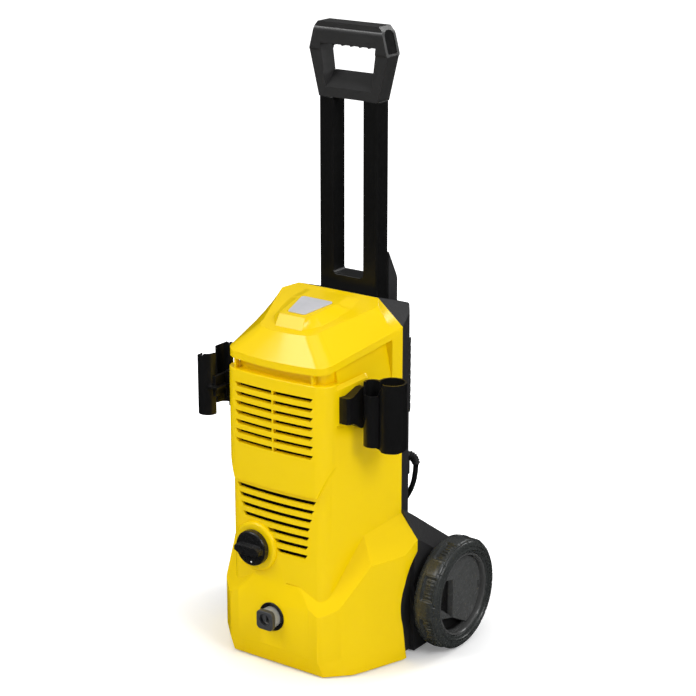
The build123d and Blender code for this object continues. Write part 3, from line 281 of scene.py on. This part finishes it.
cord_path = np.vstack([cord_route, coil_points(), tail_route]) + [0.0, REAR, 0.0]
cord_curve = bpy.data.curves.new("mains_lead", "CURVE")
cord_curve.dimensions = "3D"
cord_curve.bevel_depth = CORD_RADIUS
cord_curve.bevel_resolution = 3
cord_curve.resolution_u = 3
spline = cord_curve.splines.new("NURBS")
spline.points.add(len(cord_path) - 1)
spline.points.foreach_set("co", np.hstack([cord_path, np.ones((len(cord_path), 1))]).ravel())
spline.order_u = 3
spline.use_endpoint_u = True
sheath = finish("lead_sheath", (0.012, 0.012, 0.012), 0.45, grain=(2600.0, 0.03), mottle=(60.0, 0.10),
                specular=0.3)
cord_curve.materials.append(sheath)
mains_lead = bpy.data.objects.new("mains_lead", cord_curve)
bpy.context.scene.collection.objects.link(mains_lead)
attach(mains_lead, "root")
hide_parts("power_cord", "cord_tail", "cord_coil")


def eased(node, name, material, width, segments=2, angle=30.0, body="root"):
    """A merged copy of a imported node, with its sharp edges rounded over by the width given, in
    metres, and its flat faces shaded flat up to the rounds."""
    mesh = nodes[node].data.copy()
    mesh.name = name
    work = bmesh.new()
    work.from_mesh(mesh)
    bmesh.ops.remove_doubles(work, verts=work.verts, dist=3e-6)
    bmesh.ops.dissolve_limit(work, angle_limit=radians(0.6), verts=work.verts, edges=work.edges)
    work.to_mesh(mesh)
    work.free()
    mesh.shade_smooth()
    mesh.set_sharp_from_angle(angle=radians(angle))
    mesh.materials.clear()
    mesh.materials.append(material)
    piece = bpy.data.objects.new(name, mesh)
    bpy.context.scene.collection.objects.link(piece)
    bevel = piece.modifiers.new("eased_edges", "BEVEL")
    bevel.width, bevel.segments = width, segments
    bevel.limit_method, bevel.angle_limit = "ANGLE", radians(angle)
    bevel.use_clamp_overlap = True
    bevel.miter_outer = "MITER_ARC"
    levelled = piece.modifiers.new("levelled_shading", "WEIGHTED_NORMAL")
    levelled.keep_sharp = True
    levelled.weight = 90
    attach(piece, body)
    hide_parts(node)
    return piece


plug = eased("power_plug", "mains_plug", sheath, 0.0006)


STRAP_MIDDLE = (-0.035 - 0.042, 0.226 + REAR, 0.0156)
STRAP_HALF_WIDTH, STRAP_HALF_HEIGHT, STRAP_BREADTH, STRAP_THICKNESS = 0.0177, 0.0146, 0.013, 0.0009
STRAP_SECTION = [(-1, 0), (-0.92, 1), (0.92, 1), (1, 0)]
STRAP_STEPS = 96


def strap_points(squareness=0.32):
    """A strap round the coil's section: a superellipse in the X-Z plane, with the cosine and the sine
    raised to a small power, carried along Y as a flat band."""
    turn = np.linspace(0, 2 * pi, STRAP_STEPS, endpoint=False)[:, None]
    section = np.array(STRAP_SECTION)[None, :, :]
    rim_x = np.sign(np.cos(turn)) * np.abs(np.cos(turn)) ** squareness
    rim_z = np.sign(np.sin(turn)) * np.abs(np.sin(turn)) ** squareness
    out = section[..., 1] * STRAP_THICKNESS
    return np.stack([STRAP_MIDDLE[0] + rim_x * (STRAP_HALF_WIDTH + out),
                     STRAP_MIDDLE[1] + section[..., 0] * STRAP_BREADTH / 2 + 0 * turn,
                     STRAP_MIDDLE[2] + rim_z * (STRAP_HALF_HEIGHT + out)], -1)


webbing = finish("strap_webbing", (0.012, 0.012, 0.013), 0.85, grain=(900.0, 0.4), mottle=(300.0, 0.25),
                 specular=0.2, stretch=(1.0, 0.3, 1.0))
strap = place_mesh("lead_strap", strap_points(), grid_faces(STRAP_STEPS, len(STRAP_SECTION), True, True),
                   webbing, "root", ("cord_tie",))

# ---- lead boot
# Tapered rubber boot with rings, moulded onto the lead where it leaves the slanted corner of the
# housing, and pushed into its hole.
boot_out = np.array([cos(radians(36)), sin(radians(36)), 0.0])
boot_bend = np.array([0.077, 0.0846 + REAR, 0.240])
boot_start = boot_bend - 0.0175 * boot_out
boot_end = np.array(cord_path[0]) + np.array([0.0, 0.0, 0.001])
BOOT_STEPS, BOOT_SIDES, BOOT_RINGS = 120, 28, 6


def boot_points():
    """A bent cone: the middle line is a parabola from the housing to the lead, and the radius tapers
    along it with six rounded rings."""
    t = np.linspace(0, 1, BOOT_STEPS)[:, None]
    line = (1 - t) ** 2 * boot_start + 2 * t * (1 - t) * boot_bend + t ** 2 * boot_end
    way = 2 * (1 - t) * (boot_bend - boot_start) + 2 * t * (boot_end - boot_bend)
    way /= np.linalg.norm(way, axis=1, keepdims=True)
    side = np.array([[-boot_out[1], boot_out[0], 0.0]])
    other = np.cross(side, way)
    ridge = 0.5 - 0.5 * np.cos(2 * pi * BOOT_RINGS * np.clip((t - 0.30) / 0.66, 0, 1))
    radius = 0.0054 - 0.0012 * t + 0.0012 * ridge ** 0.7
    radius[0], radius[-1] = 0.0, 0.0
    turn = np.linspace(0, 2 * pi, BOOT_SIDES, endpoint=False)[None, :, None]
    ring = np.cos(turn) * side[:, None, :] + np.sin(turn) * other[:, None, :]
    return line[:, None, :] + ring * radius[:, None, :]


boot_rubber = finish("boot_rubber", (0.014, 0.014, 0.014), 0.5, grain=(2200.0, 0.05), specular=0.35)
place_mesh("lead_boot", boot_points(), grid_faces(BOOT_STEPS, BOOT_SIDES, False, True), boot_rubber,
           "root", ("strain_relief",), crease=75.0)

# ---- front housing
# Injection-moulded shell in bright yellow, coloured through and glossy. The hood, brim, raised
# panel, grilles and flared base are one piece, and its edges leave the mould slightly rounded.
yellow = finish("yellow_shell", (0.93, 0.645, 0.0), 0.22, grain=(420.0, 0.012), mottle=(5.0, 0.008),
                specular=0.33, uneven=0.03)
eased("front_housing", "front_shell", yellow, 0.0012, 3)
eased("hood_trim", "hood_front_facet", yellow, 0.0005, 2)

# ---- badge
# Thin silver-grey plate with a bevelled edge, glued into the platform on the hood. It is blank.
silver = finish("silver_lacquer", (0.60, 0.60, 0.63), 0.35, grain=(1800.0, 0.04), mottle=(90.0, 0.03),
                specular=0.5)
eased("badge_plate", "badge", silver, 0.0006, 3)

# ---- sound baffle, floor plate and feet
# The baffle is dark open foam close behind the grilles. The floor plate closes the front housing
# below, and two rubber feet are pressed into it.
foam = finish("baffle_foam", (0.010, 0.006, 0.003), 0.95, grain=(700.0, 0.9), mottle=(400.0, 0.4),
              specular=0.1)


def dress(node, material):
    """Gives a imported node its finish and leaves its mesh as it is."""
    nodes[node].data.materials.clear()
    nodes[node].data.materials.append(material)


dress("intake_baffle", foam)
foot_rubber = finish("foot_rubber", (0.02, 0.02, 0.02), 0.8, grain=(1500.0, 0.2), specular=0.2)
eased("front_feet", "rubber_feet", foot_rubber, 0.0006)

# ---- rear housing
# Black-grey moulding with a fine spark-eroded grain that takes the handle and the axle. The ribs
# on its shoulders give a grip when the machine is lifted.
grained = finish("grained_housing", (0.028, 0.028, 0.029), 0.46, grain=(1900.0, 0.22),
                 mottle=(30.0, 0.06), specular=0.3)
eased("rear_housing", "rear_shell", grained, 0.0010, 2)
dress("base_tray", grained)
dress("cord_hook", grained)

# ---- handle
# Two black rails moulded as one slide, and a softer, hollow grip snapped onto them. The grip's open
# ends are closed by deep-set caps.
rail = finish("rail_plastic", (0.0055, 0.0055, 0.0055), 0.33, grain=(1600.0, 0.05),
              mottle=(18.0, 0.08), specular=0.3)
grip = finish("grip_plastic", (0.026, 0.026, 0.026), 0.34, grain=(1700.0, 0.05), mottle=(25.0, 0.06),
              specular=0.7)
cap = finish("cap_plastic", (0.003, 0.003, 0.003), 0.6, grain=(1500.0, 0.1), specular=0.1)
eased("handle_stem", "handle_rails", rail, 0.0009, 2, body="handle")
eased("handle_grip", "grip_frame", grip, 0.0013, 3, body="handle")
dress("grip_end_caps", cap)

# ---- wheels
# Hard black tyre with pockets in its shoulder, pressed over a glossier moulded rim. A dished cover
# is clipped into the rim; its sunken faces carry painted shade in near black. One wheel mirrors the other.
tyre_low, tyre_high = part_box("wheel_right_tyre")
AXLE_Y, AXLE_Z = (tyre_low.y + tyre_high.y) / 2, (tyre_low.z + tyre_high.z) / 2
TYRE_SECTION = [(0.1310, 0.0541), (0.1285, 0.0570), (0.1280, 0.0620), (0.1284, 0.0665), (0.1298, 0.0694),
                (0.1325, 0.0714), (0.1360, 0.0721), (0.1400, 0.0722), (0.1500, 0.0722), (0.1545, 0.0718),
                (0.1566, 0.0710), (0.1576, 0.0700), (0.1578, 0.0692), (0.1590, 0.0690), (0.1602, 0.0676),
                (0.1611, 0.0652), (0.1616, 0.0630), (0.1606, 0.0625), (0.1610, 0.0606), (0.1618, 0.0600),
                (0.1620, 0.0582), (0.1610, 0.0574), (0.1594, 0.0570), (0.1590, 0.0552), (0.1580, 0.0541)]
TYRE_RADIUS, TYRE_TURNS, TYRE_STEP = 0.072, 720, 0.0011
POCKETS, POCKET_TURN, POCKET_HALF, POCKET_DEPTH = 8, radians(22.5), 0.0165, 0.0026
POCKET_X, POCKET_RIM, RIB_PITCH, RIB_SHARE = (0.1405, 0.1570), 0.0005, 0.0052, 0.55
NOTCH_GAP, NOTCH_DEPTH = 0.0045, 0.0010


def dense(section, step):
    """The closed section with points added between its corners, about one step apart."""
    points = np.array(section + section[:1])
    run = np.r_[0, np.cumsum(np.linalg.norm(np.diff(points, axis=0), axis=1))]
    marks = np.linspace(0, run[-1], int(run[-1] / step), endpoint=False)
    marks = marks[np.abs(marks[:, None] - run[None, :]).min(axis=1) > 0.3 * step]
    marks = np.sort(np.r_[run[:-1], marks])
    return np.stack([np.interp(marks, run, points[:, 0]), np.interp(marks, run, points[:, 1])], -1)


def ramp(value, low, high):
    """0 below low, 1 above high, and a smooth step between."""
    t = np.clip((value - low) / (high - low), 0, 1)
    return t * t * (3 - 2 * t)


def tyre_points(side):
    """The section turned about the axle. Where a pocket lies, the radius falls by its depth inside a
    rounded window, rises by a thin rim round it, and rises again at small ribs on its floor. A notch
    crosses the shoulder on either side of each pocket."""
    section = dense(TYRE_SECTION, TYRE_STEP)
    x, r = section[:, 0][None, :], section[:, 1][None, :]
    angle = np.linspace(0, 2 * pi, TYRE_TURNS, endpoint=False)[:, None]
    pitch = 2 * pi / POCKETS
    along = ((angle - POCKET_TURN + pitch / 2) % pitch - pitch / 2) * TYRE_RADIUS
    middle, reach = sum(POCKET_X) / 2, (POCKET_X[1] - POCKET_X[0]) / 2
    edge = np.maximum(np.abs(along) / POCKET_HALF, np.abs(x - middle) / reach)
    outside = ramp(r, 0.0600, 0.0660)
    hollow = 1 - ramp(edge, 0.84, 0.97)
    rim = ramp(edge, 0.94, 1.00) * (1 - ramp(edge, 1.06, 1.14))
    ribs = ramp(np.cos(along / RIB_PITCH * 2 * pi), 0.2, 0.7)
    ribs = ribs * (1 - ramp(np.abs(x - middle) / reach, 0.45, 0.6))
    shift = outside * (-POCKET_DEPTH * hollow * (1 - RIB_SHARE * ribs) + POCKET_RIM * rim)
    notch = 1 - ramp(np.abs(np.abs(along) - POCKET_HALF - NOTCH_GAP), 0.0007, 0.0014)
    shift = shift - NOTCH_DEPTH * notch * ramp(x, 0.1555, 0.1572) * outside
    radius = r + shift
    return np.stack([side * (x + 0 * angle), AXLE_Y + radius * np.cos(angle),
                     AXLE_Z + radius * np.sin(angle)], -1)


RIM_SECTION = [(0.1290, 0.00506), (0.1290, 0.0130), (0.1370, 0.0150), (0.1370, 0.0490), (0.1310, 0.0500),
               (0.1310, 0.0539), (0.1578, 0.0539), (0.1588, 0.0530), (0.1586, 0.0516), (0.1572, 0.0507),
               (0.1555, 0.0506), (0.1410, 0.0500), (0.1410, 0.0150), (0.1460, 0.0130), (0.1460, 0.00506)]
RIM_TURNS, RIM_STEP = 240, 0.0015
COVER_RADIUS, COVER_BACK = 0.0502, 0.1415
# Cover faces sunk below this depth and inside this radius carry the painted shade.
SHADED_DEPTH, SHADED_RADIUS = 0.0040, 0.0490


def rim_points(side):
    """The rim's section turned about the axle."""
    section = dense(RIM_SECTION, RIM_STEP)
    angle = np.linspace(0, 2 * pi, RIM_TURNS, endpoint=False)[:, None]
    x, r = section[:, 0][None, :], section[:, 1][None, :]
    return np.stack([side * (x + 0 * angle), AXLE_Y + r * np.cos(angle), AXLE_Z + r * np.sin(angle)], -1)


def cover_points(side, rings=150, around=360):
    """Height of the cover over a disc, u along the machine and w up from the axle, in mm: a flat plate
    whose front edge is straight; above it a facet that falls to the rim; before it a hollow with a
    low pane; below that a slanting facet; at the foot a deep hollow; and two upright slots. Each
    height takes over from the last by a smooth step. The back is closed by a flat disc."""
    share = np.linspace(0, 1, rings)[:, None] ** 0.85
    angle = np.linspace(0, 2 * pi, around, endpoint=False)[None, :]
    radius = 1000 * COVER_RADIUS * share + 0 * angle
    u, w = radius * np.cos(angle), radius * np.sin(angle)
    soft = 0.9
    past_upper = (u + 16) * -0.422 + (w - 23) * 0.907
    over_hollow = w - (23 - 0.107 * (u + 16))
    lower_line = np.interp(u, [-55, -34, -14], [-7, -12, -29])
    foot_line = np.interp(u, [-55, -46, -14, 24], [-23, -25, -29.5, -50])
    plate = 11.0 - 0.50 * np.maximum(past_upper, 0)
    facet = 10.6 - 0.10 * np.maximum(-14 - u, 0) - 0.20 * np.maximum(lower_line - w, 0)
    hollow, foot = 2.4, 0.8
    in_hollow = ramp(-15.0 - u, -soft, soft) * ramp(-over_hollow, -soft, soft)
    height = plate + (hollow - plate) * in_hollow
    in_facet = ramp(lower_line - w, -0.4, 0.4) * ramp(-14.0 - u, -0.4, 0.4)
    height = height + (facet - height) * in_facet
    in_foot = ramp(foot_line - w, -soft, soft)
    height = height + (foot - height) * in_foot
    pane = np.maximum(np.abs(u + 29.0) - 9.0, np.abs(w - 3.0) - 13.0)
    height = height + 0.8 * in_hollow * (1 - in_facet) * (1 - ramp(pane, -0.6, 0.2))
    for middle_u, middle_w, half_u, half_w in ((-20.5, -4.0, 1.7, 4.2), (45.0, -3.0, 1.5, 5.0)):
        inside = np.maximum(np.abs(u - middle_u) - half_u, np.abs(w - middle_w) - half_w)
        height = height - np.minimum(4.5, height - 0.6) * (1 - ramp(inside, -0.3, 0.3))
    lip = ramp(radius, 48.6, 49.4)
    height = np.maximum(height + (9.0 - height) * lip, 0.6)
    front = np.stack([side * (COVER_BACK + height / 1000), AXLE_Y + u / 1000, AXLE_Z + w / 1000], -1)
    back = front[[-1, 0]].copy()
    back[..., 0] = side * COVER_BACK
    return np.concatenate([front, back], 0)


tyre_look = finish("tyre_rubber", (0.034, 0.037, 0.036), 0.27, grain=(1300.0, 0.03),
                   mottle=(35.0, 0.08), specular=0.5)
wheel_look = finish("wheel_plastic", (0.068, 0.070, 0.069), 0.26, grain=(1600.0, 0.015),
                    mottle=(28.0, 0.04), specular=0.5)
rim_look = finish("rim_plastic", (0.075, 0.076, 0.075), 0.17, grain=(1600.0, 0.01),
                  mottle=(28.0, 0.04), specular=0.7)
# Near-black painted shade for the sunken faces of the covers.
hollow_shade_look = finish("painted_hollow_shade", (0.009, 0.009, 0.009), 0.35, grain=(1600.0, 0.02),
                  mottle=(28.0, 0.05), specular=0.3)
for side, word in ((-1, "left"), (1, "right")):
    tyre = tyre_points(side)
    place_mesh(f"tyre_{word}", tyre, grid_faces(*tyre.shape[:2], True, True), tyre_look,
               f"wheel_{word}", (f"wheel_{word}_tyre",), crease=50.0)
    rim = rim_points(side)
    place_mesh(f"rim_{word}", rim, grid_faces(*rim.shape[:2], True, True), rim_look,
               f"wheel_{word}", (f"wheel_{word}_rim",), crease=35.0)
    cover = cover_points(side)
    disc = place_mesh(f"cover_{word}", cover, grid_faces(*cover.shape[:2], False, True), wheel_look,
                      f"wheel_{word}", (f"wheel_{word}_cover",), crease=26.0)
    # Cover faces sunk below the given depth, inside the lip, take the near-black painted shade.
    disc.data.materials.append(hollow_shade_look)
    middles = np.empty(3 * len(disc.data.polygons))
    disc.data.polygons.foreach_get("center", middles)
    from_hub = middles.reshape(-1, 3) - [0.0, AXLE_Y, AXLE_Z]
    deep = side * from_hub[:, 0] < COVER_BACK + SHADED_DEPTH
    deep &= np.hypot(from_hub[:, 1], from_hub[:, 2]) < SHADED_RADIUS
    disc.data.polygons.foreach_set("material_index", deep.astype(np.int32))

# ---- holders for lance and gun
# Black moulded clips whose tongues snap into the sockets on the sides of the housing.
holder = finish("holder_plastic", (0.0065, 0.0065, 0.0067), 0.33, grain=(1700.0, 0.05),
                mottle=(20.0, 0.1), specular=0.4)
eased("lance_holder", "lance_clip", holder, 0.0007, 2)
eased("gun_holder", "gun_clip", holder, 0.0007, 2)

# ---- rotary switch
# Black knob with a raised bar to grip, on a round boss; a small white dot marks its position.
knob_look = finish("knob_plastic", (0.010, 0.010, 0.0105), 0.28, grain=(1500.0, 0.04),
                   mottle=(30.0, 0.08), specular=0.45)
eased("power_knob", "switch_knob", knob_look, 0.0007, 2, body="knob")


def dome_points(centre, radius, rise, rings=8, around=32):
    """A low round dome that faces the front: its height falls with the square of the distance from its
    middle, and a flat disc closes it at the back."""
    share = np.linspace(0, 1, rings)[:, None]
    turn = np.linspace(0, 2 * pi, around, endpoint=False)[None, :]
    sheet = np.stack([centre[0] + radius * share * np.cos(turn),
                      centre[1] - rise * (1 - share ** 2) + 0 * turn,
                      centre[2] + radius * share * np.sin(turn)], -1)
    base = sheet[::-1].copy()
    base[..., 1] = centre[1] + 0.0002
    return np.concatenate([sheet, base], 0)


knob_low, knob_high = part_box("power_knob")
KNOB_DISC_Y = -0.12785
mark_place = ((knob_low.x + knob_high.x) / 2 + 0.002, KNOB_DISC_Y, (knob_low.z + knob_high.z) / 2 - 0.0168)
mark_paint = finish("mark_paint", (0.80, 0.80, 0.78), 0.4, grain=(2000.0, 0.02), mottle=(300.0, 0.02))
mark = dome_points(mark_place, 0.0012, 0.0003)
place_mesh("switch_mark", mark, grid_faces(*mark.shape[:2], False, True), mark_paint, "knob")

# ---- outlet
# Black ring and grey hose socket, with a dark press plate in front that lets the hose go. A small
# tongue hangs down into the plate's round mouth.
collar = finish("collar_plastic", (0.30, 0.30, 0.28), 0.38, grain=(1500.0, 0.06), mottle=(120.0, 0.08),
                specular=0.45)
plate_look = finish("latch_plastic", (0.050, 0.052, 0.055), 0.40, grain=(1600.0, 0.08), specular=0.35)
eased("outlet_ring", "outlet_surround", knob_look, 0.0006, 2)
eased("outlet_socket", "hose_socket", collar, 0.0006, 2)
eased("outlet_latch", "latch_plate", plate_look, 0.0012, 4, body="latch")


def tongue_points(middle, half_width, top, foot, front, behind, around=48):
    """A flat tongue with a round lower end: its outline is a U of straight sides and half a circle,
    carried from the front face to the back one, with both faces closed in their middles."""
    turn = np.linspace(pi, 2 * pi, around - 2)
    bend = np.stack([half_width * np.cos(turn), foot + half_width * np.sin(turn)], -1)
    outline = np.r_[[(-half_width, top)], bend, [(half_width, top)]]
    centre = np.array([[0.0, (top + foot) / 2]])
    shares = [(0.0, front), (0.86, front), (1.0, front + 0.0004), (1.0, behind), (0.0, behind)]
    loops = [np.insert(centre + (outline - centre) * share, 1, y, axis=1) for share, y in shares]
    return np.stack(loops) + [middle[0], 0.0, middle[1]]


latch_low, latch_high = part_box("outlet_latch")
LATCH_MIDDLE = ((latch_low.x + latch_high.x) / 2, (latch_low.z + latch_high.z) / 2)
tongue = tongue_points(LATCH_MIDDLE, 0.0026, 0.0082, 0.0010, latch_low.y + 0.0006, latch_low.y + 0.0050)
place_mesh("latch_tongue", tongue, grid_faces(*tongue.shape[:2], False, True), plate_look, "latch")

# ---- water inlet
# Black threaded connector with a mesh strainer in its mouth, at the back between the wheels.
inlet_look = finish("inlet_plastic", (0.03, 0.03, 0.032), 0.5, grain=(1400.0, 0.1), specular=0.3)
eased("water_inlet", "tap_connector", inlet_look, 0.0006, 2)

# ---- motor, gears and pump
# Hidden in the housing: each family of pieces takes the finish of its own stock.
ground = finish("ground_steel", (0.55, 0.55, 0.56), 0.28, grain=(900.0, 0.08), metal=1.0,
                stretch=(1.0, 1.0, 0.1))
spring = finish("spring_wire", (0.42, 0.42, 0.43), 0.35, grain=(1200.0, 0.08), metal=1.0)
laminated = finish("laminated_steel", (0.24, 0.24, 0.25), 0.5, grain=(1800.0, 0.5), metal=1.0,
                   stretch=(0.05, 0.05, 1.0))
copper = finish("enamelled_copper", (0.55, 0.21, 0.08), 0.35, grain=(1500.0, 0.5), metal=1.0,
                stretch=(0.1, 1.0, 1.0))
brass = finish("turned_brass", (0.75, 0.54, 0.22), 0.3, grain=(1000.0, 0.1), metal=1.0)
cast = finish("die_cast_alloy", (0.58, 0.59, 0.60), 0.45, grain=(700.0, 0.3), metal=1.0)
lacquer = finish("grey_lacquer", (0.12, 0.12, 0.125), 0.4, grain=(800.0, 0.1))
nylon = finish("natural_nylon", (0.78, 0.76, 0.68), 0.45, grain=(1100.0, 0.08), mottle=(60.0, 0.03))
seal = finish("seal_rubber", (0.015, 0.015, 0.015), 0.6, grain=(1800.0, 0.1))
carbon = finish("pressed_carbon", (0.02, 0.02, 0.022), 0.7, grain=(1200.0, 0.3))
mesh_white = finish("strainer_mesh", (0.75, 0.75, 0.73), 0.5, grain=(600.0, 0.4))
stock = {
    "steel": ground, "spring_steel": spring, "bearing_steel": ground, "electrical_steel": laminated,
    "copper_winding": copper, "copper_bars": copper, "brass_fittings": brass, "pump_aluminium": cast,
    "motor_shell": lacquer, "gear_nylon": nylon, "seal_rubber": seal, "hose_rubber": seal, "carbon": carbon,
    "strainer_mesh": mesh_white, "inner_plastic": inlet_look,
}
for part in frame["record"]["subparts"]:
    if part["material_slot"] in stock:
        dress(part["node"], stock[part["material_slot"]])
